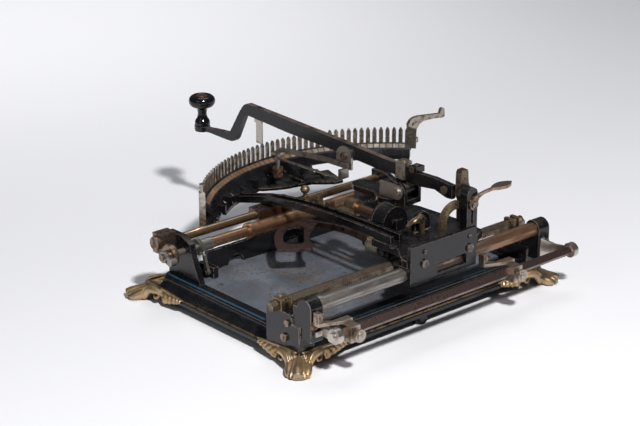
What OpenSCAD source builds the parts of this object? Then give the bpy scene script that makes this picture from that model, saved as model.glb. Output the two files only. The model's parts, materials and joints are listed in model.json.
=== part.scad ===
// Flat-bed index typewriter: a carriage with a curved comb and a swinging
// selector arm slides on two rails over a cast frame with gilded feet.
// Operator side is -Y, +X is the operator's right, +Z is up. Millimetres.

/* [Frame] */
// half length of the frame at the bottom edge, along X
frame_hx = 170; // [150:1:190]
// half depth of the frame at the bottom edge, along Y
frame_hy = 123; // [105:1:140]
// height of the frame's bottom edge above the floor
frame_low = 9; // [6:0.5:14]
// height of the frame's top face above the floor
frame_top = 28; // [22:0.5:34]
// outward run of the moulded side from top edge to bottom edge
mould_run = 12; // [8:0.5:16]
// corner radius of the top edge
corner_r = 10; // [6:0.5:16]
// width of the flat top ring
ring_w = 24; // [18:1:30]
// thickness of the paper bed plate
bed_t = 3; // [2:0.5:4]
// reach of a foot's toe beyond the frame corner
toe_reach = 24; // [16:1:30]

/* [Rails] */
// rear rail distance from the frame's middle line
rail_y = 128; // [118:1:136]
// rear rail centre height
rail_z = 67; // [60:1:76]
// rear rail radius
rail_r = 7.4; // [5:0.1:9]
// front guide rod distance from the frame's middle line
guide_y = 104; // [102:1:106]
// front guide rod centre height
guide_z = 64.5; // [62:0.5:66]
// front guide rod radius
guide_r = 4.6; // [3:0.1:6]
// feed roller centre distance from the frame's middle line
roller_y = 84; // [82:1:86]
// feed roller centre height
roller_z = 58.5; // [56:0.5:60]
// feed roller radius
roller_r = 7.4; // [5:0.1:8]
// half length of the rails
rail_hx = 158; // [140:1:166]
// running clearance of rods in their bores
run_fit = 0.06; // [0.02:0.01:0.1]
// rack bar centre line distance from the middle line
rack_y = 90; // [86:1:92]
// rack tooth pitch
rack_pitch = 2.5; // [2:0.1:4]

/* [Margin bar] */
// margin bar distance from the middle line
margin_y = 158; // [152:1:166]
// margin bar centre height
margin_z = 45; // [40:1:52]
// margin bar side length, set on edge
margin_a = 8; // [6:0.5:10]
// left stop clamp centre at rest
stop_l_x = -90; // [-96:1:-88]
// right stop clamp centre at rest
stop_r_x = 136; // [130:1:138]

/* [Carriage] */
// right end of the rear slide block
block_r = 39; // [30:1:50]
// left end of the rear slide block
block_l = -54; // [-64:1:-46]
// outer face of the rear plate
plate_y = 141; // [139:0.5:144]
// top of the rear plate
plate_top = 99; // [92:1:104]
// underside of the carriage deck
deck_z = 76; // [75:0.5:78]
// thickness of the carriage deck
deck_t = 8; // [6:0.5:10]
// swing axis of the selector arm, along X
piv_x = -62; // [-70:1:-54]
// swing axis of the selector arm, along Y
piv_y = 9; // [0:1:16]

/* [Comb] */
// number of gaps in the comb
gaps = 45; // [30:1:48]
// half angle from first to last tooth
comb_half = 48; // [40:0.5:48]
// middle radius of the comb
comb_r = 204.3; // [196:0.1:208]
// height of the tooth tips
tip_z = 103; // [98:0.5:103.5]
// depth of the gaps
gap_deep = 18.5; // [13:0.5:19]
// width of a gap
gap_w = 2.8; // [2.6:0.1:3.2]
// thickness of the comb
comb_t = 2; // [1.5:0.1:3]

/* [Selector arm] */
// gap steps from the middle of the comb to the arm at rest
rest_step = 2; // [0:1:6]
// thickness of the arm
arm_t = 7; // [5:0.5:8]
// knob distance from the swing axis
knob_s = 300; // [285:1:315]
// knob radius
knob_r = 15.5; // [12:0.5:18]
// press axis distance behind the swing axis
trun_s = 18; // [14:1:20]
// press axis height
trun_z = 106; // [104:0.5:108]

/* [Hidden] */
$fn = 64;
eps = 0.01;
top_hx = frame_hx - mould_run;
top_hy = frame_hy - mould_run;
pitch_a = 2 * comb_half / gaps;
arm_rest = rest_step * pitch_a;
bed_hx = top_hx - corner_r - 4.5;
bed_hy = top_hy - corner_r - 4.5;
ledge_z = frame_top - 4;
bed_top = ledge_z + bed_t;
rack_z0 = 56;
rack_h = 8.5;
rack_w = 8;
rack_hx = frame_hx + 8;
deck_top = deck_z + deck_t;
beam_h = 8;
case_r = comb_r - comb_t / 2 - 0.3;
end_clear = -guide_y - 9.6;
table_z = 91.2;
foot_c = corner_r + mould_run;
foot_x = frame_hx - foot_c * (1 - sqrt(0.5));
foot_y = frame_hy - foot_c * (1 - sqrt(0.5));
toe_w = 22;
x_hi = foot_x + (toe_reach + 5 + toe_w / 2) * sqrt(0.5);
horn_x = piv_x - (comb_r + 2) * sin(comb_half + 1.6);
x_lo = horn_x - 54;
screw_y = margin_y + 9;
y_hi = screw_y + 9;
y_lo = piv_y - knob_s * cos(arm_rest) - knob_r;
off_x = -(x_hi + x_lo) / 2;
off_y = -(y_hi + y_lo) / 2;

// moves a sub-part so that the whole machine is centred on the origin
module centred() {
    translate([off_x, off_y, 0]) children();
}

module box(x0, x1, y0, y1, z0, z1) {
    translate([x0, y0, z0]) cube([x1 - x0, y1 - y0, z1 - z0]);
}

// round bar along X
module rod_x(x0, x1, y, z, r) {
    translate([x0, y, z]) rotate([0, 90, 0]) cylinder(h = x1 - x0, r = r);
}

// round bar along Y
module rod_y(y0, y1, x, z, r) {
    translate([x, y1, z]) rotate([90, 0, 0]) cylinder(h = y1 - y0, r = r);
}

// round bar along Z
module rod_z(z0, z1, x, y, r) {
    translate([x, y, z0]) cylinder(h = z1 - z0, r = r);
}

// profile drawn in (Y, Z), thick from x0 to x1
module slab_x(x0, x1) {
    translate([x0, 0, 0]) rotate([90, 0, 90]) linear_extrude(height = x1 - x0) children();
}

// profile drawn in (X, Z), thick from y0 to y1
module slab_y(y0, y1) {
    translate([0, y1, 0]) rotate([90, 0, 0]) linear_extrude(height = y1 - y0) children();
}

// profile drawn in (X, Y), thick from z0 to z1
module slab_z(z0, z1) {
    translate([0, 0, z0]) linear_extrude(height = z1 - z0) children();
}

// turned profile about the swing axis, angles counted from -Y towards +X
module sector(a0, a1) {
    translate([piv_x, piv_y, 0]) rotate([0, 0, a0 - 90])
        rotate_extrude(angle = a1 - a0) children();
}

// local frame standing on the comb circle at angle a, local -Y outward
module on_comb(a) {
    translate([piv_x, piv_y, 0]) rotate([0, 0, a]) children();
}

// local frame of the selector arm, local -Y outward
module at_arm() {
    on_comb(arm_rest) children();
}

// profile drawn as (reach, height), thickness t across the arm about offset d
module arm_plate(t, d = 0) {
    translate([d, 0, 0]) rotate([0, 0, -90]) rotate([90, 0, 0])
        linear_extrude(height = t, center = true) children();
}

// slotted screw head on a face that looks along +Y
module head_y(x, y, z, r, t, a = 0) {
    difference() {
        rod_y(y, y + t, x, z, r);
        translate([x, y + t, z]) rotate([0, a, 0])
            translate([-r - 1, -0.35 * t, -0.12 * r]) cube([2 * r + 2, t, 0.24 * r]);
    }
}

// slotted screw head on a face that looks along +X
module head_x(x, y, z, r, t, a = 0) {
    difference() {
        rod_x(x, x + t, y, z, r);
        translate([x + t, y, z]) rotate([a, 0, 0])
            translate([-0.35 * t, -r - 1, -0.12 * r]) cube([t, 2 * r + 2, 0.24 * r]);
    }
}

// slotted screw head on a face that looks up
module head_z(x, y, z, r, t, a = 0) {
    difference() {
        rod_z(z, z + t, x, y, r);
        translate([x, y, z + t]) rotate([0, 0, a])
            translate([-r - 1, -0.12 * r, -0.35 * t]) cube([2 * r + 2, 0.24 * r, t]);
    }
}

// ---------------------------------------------------------------- frame

// moulded section of the frame, first coordinate counted from the corner centre
module frame_section() {
    c = corner_r;
    t = frame_top;
    b = frame_low;
    w = mould_run;
    polygon([
        [c - ring_w, ledge_z - 4], [c - ring_w, ledge_z], [-4.2, ledge_z], [-4.2, t],
        [c - 0.8, t], [c, t - 0.8], [c, t - 2.4], [c + 1.2, t - 3.2],
        [c + 1.8, t - 6], [c + 3.6, t - 9], [c + 6.2, t - 11.4], [c + w - 2.6, t - 12.8],
        [c + w - 1.4, t - 13.4], [c + w - 0.6, t - 14.6], [c + w, b + 3], [c + w, b],
        [c + w - 3.4, b], [c + w - 5, t - 15.4], [c + 2, t - 12], [c - 3, ledge_z - 4]
    ]);
}

module frame_side(hx, hy) {
    for (m = [0, 1])
        mirror([m, 0, 0]) slab_turn(hx - corner_r, hy - corner_r) frame_section();
}

module slab_turn(cx, half) {
    translate([cx, 0, 0]) rotate([90, 0, 0])
        linear_extrude(height = 2 * half, center = true) children();
}

module frame_solid() {
    frame_side(top_hx, top_hy);
    rotate([0, 0, 90]) frame_side(top_hy, top_hx);
    for (mx = [0, 1], my = [0, 1])
        mirror([mx, 0, 0]) mirror([0, my, 0])
            translate([top_hx - corner_r, top_hy - corner_r, 0]) rotate_extrude(angle = 90)
                intersection() {
                    frame_section();
                    square([100, 100]);
                }
    for (m = [0, 1])
        mirror([0, m, 0]) box(-11, 11, frame_hy - 17, frame_hy - 4, frame_low, frame_low + 5);
}

// seats cut into the frame for the two rear corner posts
module post_seats() {
    for (m = [0, 1])
        mirror([m, 0, 0]) box(top_hx - 8, frame_hx + 5, 74, frame_hy + 1, frame_low + 3, 60);
}

module base_frame() {
    color([0.05, 0.05, 0.055]) centred() {
        difference() {
            frame_solid();
            post_seats();
        }
        for (m = [0, 1])
            mirror([0, m, 0]) {
                rod_z(2.5, frame_low, 0, frame_hy - 8, 8);
                rod_z(0, 2.5, 0, frame_hy - 8, 6.5);
            }
    }
}

// one acanthus foot under the corner at (+X, +Y)
module foot_leaf() {
    difference() {
        union() {
            translate([8, 10]) circle(r = 11);
            translate([23, 9]) circle(r = 8.5);
            translate([35.5, 9]) circle(r = 6.5);
            translate([45.5, 9.5]) circle(r = 5);
            translate([53, 10]) circle(r = 3.6);
        }
        translate([29, 1.5]) circle(r = 4.4);
        translate([16.5, 0.5]) circle(r = 3.2);
        translate([-40, -20]) square([120, 20]);
        translate([-40, 21]) square([120, 20]);
    }
}

module foot_solid() {
    difference() {
        union() {
            translate([foot_x, foot_y, 0]) rotate([0, 0, 45]) rotate([90, 0, 0]) {
                linear_extrude(height = toe_w, center = true) union() {
                    polygon([
                        [-12, 5], [-12, 20], [4, 21], [11, 18], [18, 12.5], [toe_reach, 10],
                        [toe_reach, 0], [14, 0], [8, 4]
                    ]);
                    translate([toe_reach, 5]) circle(r = 5);
                }
                linear_extrude(height = toe_w + 8, center = true) union() {
                    translate([4, 14]) circle(r = 6.5);
                    translate([13, 9]) circle(r = 5);
                }
            }
            slab_y(frame_hy - 2, frame_hy + 5) translate([frame_hx - 3, 0]) mirror([1, 0]) foot_leaf();
            slab_x(frame_hx - 2, frame_hx + 5) translate([frame_hy - 3, 0]) mirror([1, 0]) foot_leaf();
            rod_y(frame_hy - 1, frame_hy + 7, frame_hx - 52, 8, 4);
            rod_x(frame_hx - 1, frame_hx + 7, frame_hy - 52, 8, 4);
        }
        frame_solid();
        box(0, frame_hx, 0, frame_hy, frame_low - 0.5, 60);
    }
}

module corner_feet() {
    color([0.72, 0.55, 0.22]) centred() for (mx = [0, 1], my = [0, 1])
        mirror([mx, 0, 0]) mirror([0, my, 0]) foot_solid();
}

module bed_plate() {
    color([0.45, 0.47, 0.5]) centred() difference() {
        slab_z(ledge_z, bed_top) union() {
            square([2 * bed_hx - 24, 2 * bed_hy - 0.6], center = true);
            square([2 * bed_hx - 0.6, 2 * bed_hy - 24], center = true);
            for (mx = [-1, 1], my = [-1, 1])
                translate([mx * (bed_hx - 12), my * (bed_hy - 12)]) circle(r = 11.7);
        }
        rod_z(0, 60, bed_hx - 14, -48, 3);
        for (m = [-1, 1])
            rod_z(0, 60, m * (bed_hx - 12), bed_hy - 14, 2.2);
        for (m = [-1, 1])
            rod_z(0, 60, m * (bed_hx - 12), 14 - bed_hy, 2.2);
    }
}

// corner post with the lug that holds the rear rail, drawn for +X
module post_solid() {
    difference() {
        union() {
            box(top_hx - 8, frame_hx, 74, 112, frame_low + 3, rack_z0);
            box(top_hx - 8, frame_hx, 112, frame_hy, frame_low + 3, 46);
            box(top_hx - 6, frame_hx - 2, 112, rail_y + 10, 34, rail_z);
            rod_x(top_hx - 6, frame_hx - 2, rail_y, rail_z, 10);
        }
        rod_x(0, rail_hx, rail_y, rail_z, rail_r + run_fit);
    }
}

module rail_posts() {
    color([0.05, 0.05, 0.055]) centred() for (m = [0, 1])
        mirror([m, 0, 0]) post_solid();
}

// slotted screws of the bed plate and of the corner posts
module frame_screws() {
    color([0.6, 0.5, 0.42]) centred() {
        for (mx = [-1, 1], my = [-1, 1]) {
            head_z(mx * (bed_hx - 12), my * (bed_hy - 14), bed_top, 3.6, 1.2, 35);
            rod_z(ledge_z, bed_top, mx * (bed_hx - 12), my * (bed_hy - 14), 2.1);
        }
        for (m = [0, 1])
            mirror([m, 0, 0]) {
                head_y(frame_hx - 7.3, rail_y + 10, 52, 5.2, 0.8, 25);
                rod_x(frame_hx, frame_hx + 2.5, 102, 30, 4.2);
                head_x(frame_hx, 106, 46, 3.4, 1.8, 40);
            }
    }
}

// ---------------------------------------------------------------- rails

module rear_rail() {
    color([0.55, 0.52, 0.48]) centred() {
        rod_x(-rail_hx, rail_hx, rail_y, rail_z, rail_r);
        rod_x(top_hx - 11, top_hx - 6.2, rail_y, rail_z, rail_r + 2);
    }
}

// toothed bar on the posts: the section's outline carries the teeth
module rack_bar() {
    n = floor(2 * (rack_hx - 24) / rack_pitch);
    x0 = -n * rack_pitch / 2;
    y0 = rack_y - rack_w / 2;
    y1 = rack_y + rack_w / 2;
    teeth = [for (k = [0 : n - 1], j = [0, 1])
        [x0 + (k + 0.5 * j + 0.25) * rack_pitch, y1 - (j == 0 ? 0 : 1.5)]];
    color([0.5, 0.38, 0.24]) centred() {
        slab_z(rack_z0, rack_z0 + 0.55 * rack_h)
            polygon(concat([[-rack_hx, y0], [-rack_hx, y1]], teeth, [[rack_hx, y1], [rack_hx, y0]]));
        slab_x(-rack_hx, rack_hx) polygon([
            [y0, rack_z0 + 0.55 * rack_h], [y0, rack_z0 + rack_h], [y0 + 3, rack_z0 + rack_h],
            [y1 - 1.5, rack_z0 + 0.6 * rack_h], [y1 - 1.5, rack_z0 + 0.55 * rack_h]
        ]);
    }
}

module rack_clamps() {
    y0 = rack_y - rack_w / 2;
    y1 = rack_y + rack_w / 2;
    color([0.62, 0.48, 0.26]) centred() for (m = [0, 1])
        mirror([m, 0, 0]) {
            for (x = [frame_hx - 14, frame_hx - 5]) {
                box(x, x + 4.5, y1 + 0.2, y1 + 3, rack_z0, rack_z0 + rack_h + 1.5);
                box(x, x + 4.5, y0 - 3, y0 - 0.2, rack_z0, rack_z0 + rack_h + 1.5);
                box(x, x + 4.5, y0 - 3, y1 + 3, rack_z0 + rack_h + 0.2, rack_z0 + rack_h + 2.4);
            }
        }
}

module guide_rod() {
    color([0.62, 0.5, 0.36]) centred()
        rod_x(-rail_hx, rail_hx, -guide_y, guide_z, guide_r);
}

// bracket at the end of the guide rod and the feed roller, drawn for +X
module bracket_solid() {
    difference() {
        slab_x(142, 149) polygon([
            [1 - top_hy, frame_top], [53 - top_hy, frame_top], [-roller_y + 14, 54],
            [-roller_y + 10, 68], [-roller_y - 4, 74], [-guide_y - 7, 74], [-guide_y - 7, 54]
        ]);
        rod_x(100, 200, -guide_y, guide_z, guide_r + run_fit);
        rod_x(100, 200, -roller_y, roller_z, 3.5 + run_fit);
    }
}

module rod_brackets() {
    color([0.05, 0.05, 0.055]) centred() for (m = [0, 1])
        mirror([m, 0, 0]) bracket_solid();
}

module rod_end_block() {
    color([0.42, 0.3, 0.22]) centred() difference() {
        union() {
            box(149, 168, -guide_y - 8, -guide_y + 7.4, guide_z - 10, guide_z + 12);
            rod_x(168, 172, -guide_y - 0.4, guide_z + 2, 7.4);
        }
        rod_x(100, rail_hx, -guide_y, guide_z, guide_r + run_fit);
    }
}

module cross_wall() {
    y = -roller_y + 16;
    color([0.06, 0.06, 0.065]) centred() {
        difference() {
            box(-127, 120, -roller_y - 3, -roller_y + 1, bed_top, roller_z - roller_r - 1.6);
            for (x = [-80, 0, 80])
                rod_y(-150, -50, x, bed_top, 10);
        }
        box(120, 127, -roller_y - 3, y + 5, bed_top, bed_top + 12.5);
        rod_x(127, 134, y, bed_top + 8, 1.8);
    }
}

// ---------------------------------------------------------------- paper feed

module feed_roller() {
    color([0.6, 0.42, 0.3]) centred() {
        rod_x(-131, 58, -roller_y, roller_z, roller_r);
        rod_x(58, 64, -roller_y, roller_z, roller_r + 1.2);
        rod_x(64, 113, -roller_y, roller_z, roller_r - 1.6);
        rod_x(-154, -131, -roller_y, roller_z, 3.5);
    }
}

// spindle with its collar and ratchet wheel, screwed into the roller's end
module feed_ratchet() {
    n = 28;
    color([0.45, 0.4, 0.34]) centred() {
        rod_x(113, 128, -roller_y, roller_z, 6.6);
        rod_x(128, 163, -roller_y, roller_z, 3.5);
        translate([129, -roller_y, roller_z]) rotate([90, 0, 90]) linear_extrude(height = 3.5)
            polygon([for (k = [0 : n - 1], j = [0, 1])
                (j == 0 ? 9.4 : 8.1) * [cos((k + 0.12 * j) * 360 / n), sin((k + 0.12 * j) * 360 / n)]]);
    }
}

module thumb_wheel() {
    color([0.55, 0.4, 0.3]) centred() {
        rod_x(163, 164.5, -roller_y, roller_z, 11.2);
        rod_x(164.5, 168, -roller_y, roller_z, 12);
        rod_x(168, 169.5, -roller_y, roller_z, 11.2);
        rod_x(169.5, 172, -roller_y, roller_z, 6);
        rod_x(172, 179, -roller_y, roller_z, 3.5);
    }
}

module feed_lever() {
    color([0.4, 0.34, 0.28]) centred() difference() {
        union() {
            rod_x(173, 177, -roller_y, roller_z, 6);
            box(173.5, 176.5, -roller_y, -roller_y + 17, roller_z - 2, roller_z + 2.5);
            rod_x(173, 181, -roller_y + 17, roller_z, 4);
        }
        rod_x(100, 200, -roller_y, roller_z, 3.5 + run_fit);
    }
}

// click that rests by the ratchet, on a stud of the cross wall
module feed_click() {
    y = -roller_y + 16;
    color([0.45, 0.4, 0.34]) centred() difference() {
        union() {
            rod_x(129.2, 132.4, y, bed_top + 8, 3.4);
            slab_x(129.2, 132.4) polygon([
                [y - 3, bed_top + 8], [y + 3, bed_top + 8], [y - 3.5, roller_z - 6], [y - 7, roller_z - 5]
            ]);
        }
        rod_x(100, 200, y, bed_top + 8, 1.8 + run_fit);
    }
}

// ---------------------------------------------------------------- margin bar

module diamond(a) {
    rotate([0, 0, 45]) square(a, center = true);
}

module margin_bar() {
    color([0.3, 0.18, 0.16]) centred()
        slab_x(-frame_hx - 8, frame_hx - 20) translate([margin_y, margin_z]) diamond(margin_a);
}

// arm from the post at the operator's right to that end of the margin bar
module margin_arm_solid() {
    x = frame_hx - 20;
    box(x, x + 7, rail_y + 10, margin_y, margin_z - 4.5, margin_z + 4.5);
    rod_x(x, x + 7, margin_y, margin_z, 8);
    rod_x(x + 7, x + 11, margin_y, margin_z, 4.5);
    box(x + 2, x + 14, rail_y + 10, rail_y + 13, margin_z - 4.5, margin_z + 1);
}

// broad bracket from the other post to the far end of the bar
module margin_bracket_solid() {
    x = -frame_hx - 8;
    rod_x(x - 6, x, margin_y, margin_z, 8);
    rod_x(x - 10, x - 6, margin_y, margin_z, 4.5);
    box(-frame_hx + 13, -frame_hx + 19, rail_y + 10, rail_y + 13.5, margin_z - 11, margin_z + 15.5);
    difference() {
        translate([-frame_hx + 16, rail_y + 12.4, 0]) rotate([0, 0, 147.8]) slab_y(-2, 2) polygon([
            [-1, 34], [-1, 60.5], [8, 56], [16, 52], [24, 49.8], [31, 49.4], [31, 41], [24, 39], [10, 36]
        ]);
        slab_x(x, 0) translate([margin_y, margin_z]) diamond(margin_a);
    }
}

module margin_arms() {
    color([0.72, 0.7, 0.66]) centred() {
        margin_arm_solid();
        margin_bracket_solid();
    }
}

// sliding stop with its finger reaching towards the carriage
module stop_solid(x) {
    difference() {
        union() {
            box(x - 6, x + 6, margin_y - 8.5, screw_y, margin_z - 8.5, margin_z + 8.5);
            slab_z(margin_z + 8.5, margin_z + 12) polygon([
                [x - 6, margin_y - 2], [x + 6, margin_y - 2], [x + 30, plate_y + 5.5],
                [x + 30, plate_y - 2], [x + 24, plate_y - 2], [x + 14, margin_y - 10], [x - 6, margin_y - 10]
            ]);
            box(x + 24, x + 30, plate_y - 2, plate_y + 5.5, margin_z + 12, margin_z + 22);
        }
        slab_x(x - 10, x + 10) translate([margin_y, margin_z]) diamond(margin_a + 0.2);
        rod_y(screw_y - 3, screw_y + 3, x, margin_z, 2 + run_fit);
    }
}

module screw_solid(x) {
    rod_y(screw_y - 2.8, screw_y + 4, x, margin_z, 2);
    rod_y(screw_y + 4, screw_y + 7.5, x, margin_z, 6.5);
    rod_y(screw_y + 7.5, screw_y + 9, x, margin_z, 4.5);
}

module margin_stop_right() {
    color([0.36, 0.28, 0.22]) centred() stop_solid(stop_r_x);
}

module margin_stop_left() {
    color([0.36, 0.28, 0.22]) centred() stop_solid(stop_l_x);
}

module stop_screw_right() {
    color([0.6, 0.58, 0.54]) centred() screw_solid(stop_r_x);
}

module stop_screw_left() {
    color([0.6, 0.58, 0.54]) centred() screw_solid(stop_l_x);
}

// ---------------------------------------------------------------- carriage

module rear_slide() {
    color([0.05, 0.05, 0.055]) centred() difference() {
        union() {
            box(block_l, block_r, plate_y - 5, plate_y, rail_z - 9, plate_top);
            box(block_r - 9, block_r, rail_y - 12, plate_y - 5, rail_z - 9, deck_z);
            box(block_l, block_l + 9, rail_y - 12, plate_y - 5, rail_z - 9, deck_z);
        }
        box(-40, 2, plate_y - 6, plate_y + 1, rail_z - 4, rail_z + 7);
        rod_x(block_l - 1, block_r + 1, rail_y, rail_z, rail_r + run_fit);
    }
}

module carriage_deck() {
    color([0.055, 0.055, 0.06]) centred() difference() {
        union() {
            slab_z(deck_z, deck_top) polygon([
                [block_r, plate_y - 5], [block_l, plate_y - 5], [-80, 124], [-84, 96], [-80, 30],
                [-76, piv_y + 8], [piv_x + 14, piv_y + 8], [piv_x + 16, 40], [-34, 66], [22.5, 66],
                [22.5, 106], [34, 120], [block_r, 128]
            ]);
            rod_z(deck_z - 8, 91, piv_x, piv_y, 13);
            box(-44, -22, 78, 84, deck_top, deck_top + 9);
            rod_y(78, 84, -33, deck_top + 9, 11);
        }
        rod_z(0, 200, piv_x, piv_y, 5 + run_fit);
        box(-38, -19, 85.4, 90.4, deck_z - 1, deck_top + 1);
    }
}

// two bowed beams from the deck to the comb casting
module bridge_beams() {
    top = [[92, 92], [61, 92], [31, 92], [0, 91.5], [-30, 90], [-60, 87.5], [-90, 83.5], [-114, 79],
        [-135, 73.5], [-155, 68], [-182, 66]];
    low = [for (p = [len(top) - 1 : -1 : 0]) [top[p][0], top[p][1] - beam_h]];
    color([0.07, 0.07, 0.075]) centred() difference() {
        union() {
            slab_x(4, 8) polygon(concat(top, low));
            slab_x(16, 20) polygon(concat(top, low));
        }
        box(0, 30, 60, 100, 0, deck_top);
        translate([piv_x, piv_y, 0]) difference() {
            cylinder(h = 200, r = 400);
            translate([0, 0, -1]) cylinder(h = 202, r = case_r - 19);
        }
    }
}

module front_slide() {
    color([0.2, 0.16, 0.14]) centred() difference() {
        union() {
            box(-12, 36, -guide_y - 11, -guide_y + 6.5, guide_z - 6.5, guide_z + 6);
            box(8, 16, -guide_y - 11, -guide_y + 6.5, guide_z + 6, guide_z + 14);
            box(-12, 3, -guide_y - 9, -guide_y + 4, guide_z + 6, guide_z + 10);
        }
        rod_x(-100, 100, -guide_y, guide_z, guide_r + run_fit);
    }
}

// curved casting that carries the comb and the character strip
module index_casting() {
    r = case_r;
    color([0.045, 0.045, 0.05]) centred() {
        sector(-comb_half - 1.2, comb_half + 1.2) polygon([
            [r, 84.6], [r - 8, 79.3], [r - 12, 70], [r - 12, 68], [r - 8.6, 68], [r - 4, 77],
            [r - 4, 68], [r, 68]
        ]);
        sector(-14, 37) polygon([
            [r - 10, 73], [r - 19, 61], [r - 19, 57.6], [r - 15, 57.6], [r - 9, 68.6]
        ]);
        sector(19.5, 26.5) square_at(r - 19, 57, 6, 10.5);
        sector(36, comb_half) polygon([[r - 10, 73], [r - 16.8, 64], [r - 2.5, 64], [r - 2.5, 70]]);
        for (a = [-9, 3, 13, 31, 40])
            on_comb(a) box(-2.5, 2.5, -r + 9.5, -r + 21, 64.6, 72.4);
    }
}

module square_at(x, y, w, h) {
    translate([x, y]) square([w, h]);
}

module casting_foot() {
    color([0.72, 0.71, 0.69]) centred() difference() {
        union() {
            sector(comb_half - 8.5, comb_half + 4.4) square_at(case_r - 14, 60.5, 18, 3.5);
            for (a = [comb_half - 6, comb_half - 2.4])
                on_comb(a) rod_z(58.5, 60.6, 0, -case_r + 6, 2.6);
        }
        box(-200, 300, end_clear, 100, 0, 200);
    }
}

// character strip: one plain cell for each gap of the comb
module index_strip() {
    r = case_r;
    color([0.62, 0.45, 0.33]) centred() sector(-comb_half + 0.5, comb_half - 1) polygon([
        [r - 1.28, 83.752], [r - 7.04, 79.936], [r - 7.32, 80.358], [r - 1.56, 84.174]
    ]);
}

module end_post() {
    a = comb_half + 3.4;
    color([0.74, 0.72, 0.68]) centred() difference() {
        on_comb(a) {
            box(-3, 3, -case_r - 4, -case_r + 3, 64, 102);
            rod_z(102, 104, 0, -case_r, 2.4);
        }
        on_comb(a) rod_z(90, 110, 0, -case_r, 1.5 + run_fit);
    }
}

module adjusting_screw() {
    a = comb_half + 3.4;
    color([0.7, 0.66, 0.6]) centred() on_comb(a) {
        rod_z(96, 107, 0, -case_r, 1.5);
        rod_z(107, 111, 0, -case_r, 3.4);
    }
}

// ---------------------------------------------------------------- comb

// outline of one gap, seen along the radius: a slot that flares at the tips
module gap_shape() {
    flare = 1.9;
    polygon([
        [-gap_w / 2, tip_z - gap_deep], [gap_w / 2, tip_z - gap_deep], [gap_w / 2, tip_z - 3.4],
        [gap_w / 2 + flare, tip_z + 0.4], [-gap_w / 2 - flare, tip_z + 0.4], [-gap_w / 2, tip_z - 3.4]
    ]);
}

module comb() {
    r0 = comb_r - comb_t / 2;
    color([0.66, 0.65, 0.62]) centred() difference() {
        sector(-comb_half - 1.4, comb_half + 0.9) square_at(r0, 76, comb_t, tip_z - 76);
        for (k = [0 : gaps - 1])
            on_comb(-comb_half + (k + 0.5) * pitch_a)
                slab_y(-comb_r - 6, -comb_r + 6) gap_shape();
    }
}

module shift_horn() {
    y = piv_y - (comb_r + 2) * cos(comb_half + 1.6);
    color([0.6, 0.56, 0.5]) centred() difference() {
        union() {
            slab_y(y - 5, y - 1) difference() {
                polygon([
                    [horn_x + 3, 84], [horn_x + 3.4, 96], [horn_x + 5, 102], [horn_x + 5, 107],
                    [horn_x + 2, 111.4], [horn_x - 3, 113.6], [horn_x - 10, 114], [horn_x - 24, 112.4],
                    [horn_x - 38, 110.6], [horn_x - 46.5, 109.6], [horn_x - 48, 114.4],
                    [horn_x - 50.5, 116], [horn_x - 53.4, 114.6], [horn_x - 54, 104.6],
                    [horn_x - 50, 103.6], [horn_x - 36, 105.6], [horn_x - 20, 106.2],
                    [horn_x - 13, 104], [horn_x - 9, 99], [horn_x - 7, 91], [horn_x - 7, 84]
                ]);
                translate([horn_x - 2, 106]) circle(r = 1.8);
            }
            sector(-comb_half - 3, -comb_half - 1.4) square_at(comb_r - comb_t / 2, 78, comb_t, 24);
            box(horn_x - 7, horn_x + 3, y - 1, y + 3, 84, 90);
        }
        translate([piv_x, piv_y, 0]) cylinder(h = 300, r = comb_r - comb_t / 2);
        sector(-comb_half - 1.4, comb_half) square_at(comb_r - 6, 0, 12, tip_z);
    }
}

// ---------------------------------------------------------------- selector arm

module turntable() {
    color([0.06, 0.06, 0.065]) centred() {
        rod_z(deck_z - 6, table_z, piv_x, piv_y, 5);
        at_arm() {
            slab_z(table_z, table_z + 6) union() {
                circle(r = 20);
                translate([-12, -44]) square([24, 44]);
                translate([0, -44]) circle(r = 12);
                translate([-13, 0]) square([26, trun_s + 10]);
            }
            for (m = [0, 1])
                mirror([m, 0, 0]) arm_plate(4, 11) difference() {
                    union() {
                        translate([-trun_s - 10, table_z + 6]) square([20, trun_z - table_z - 6]);
                        translate([-trun_s, trun_z]) circle(r = 10);
                    }
                    translate([-trun_s, trun_z]) circle(r = 3 + run_fit);
                }
        }
    }
}

// type sector hanging below the turntable's rim
module type_sector() {
    color([0.16, 0.13, 0.12]) centred() on_comb(arm_rest) rotate([0, 0, -18 - 90])
        rotate_extrude(angle = 36) polygon([
            [32, table_z - 4], [32, table_z], [46, table_z], [46, 77], [42, 77], [42, table_z - 4]
        ]);
}

// nickel plate on the turntable's cheek, with the pin of the press axis
module link_plate() {
    color([0.76, 0.75, 0.73]) centred() at_arm() {
        arm_plate(2.4, 14.2) union() {
            translate([-trun_s, trun_z]) circle(r = 8);
            translate([-trun_s, trun_z - 8]) square([trun_s + 6, 16]);
        }
        rod_x(-13, 15.5, trun_s, trun_z, 3);
        head_x(15.4, trun_s, trun_z, 5, 2.2, 60);
    }
}

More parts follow.
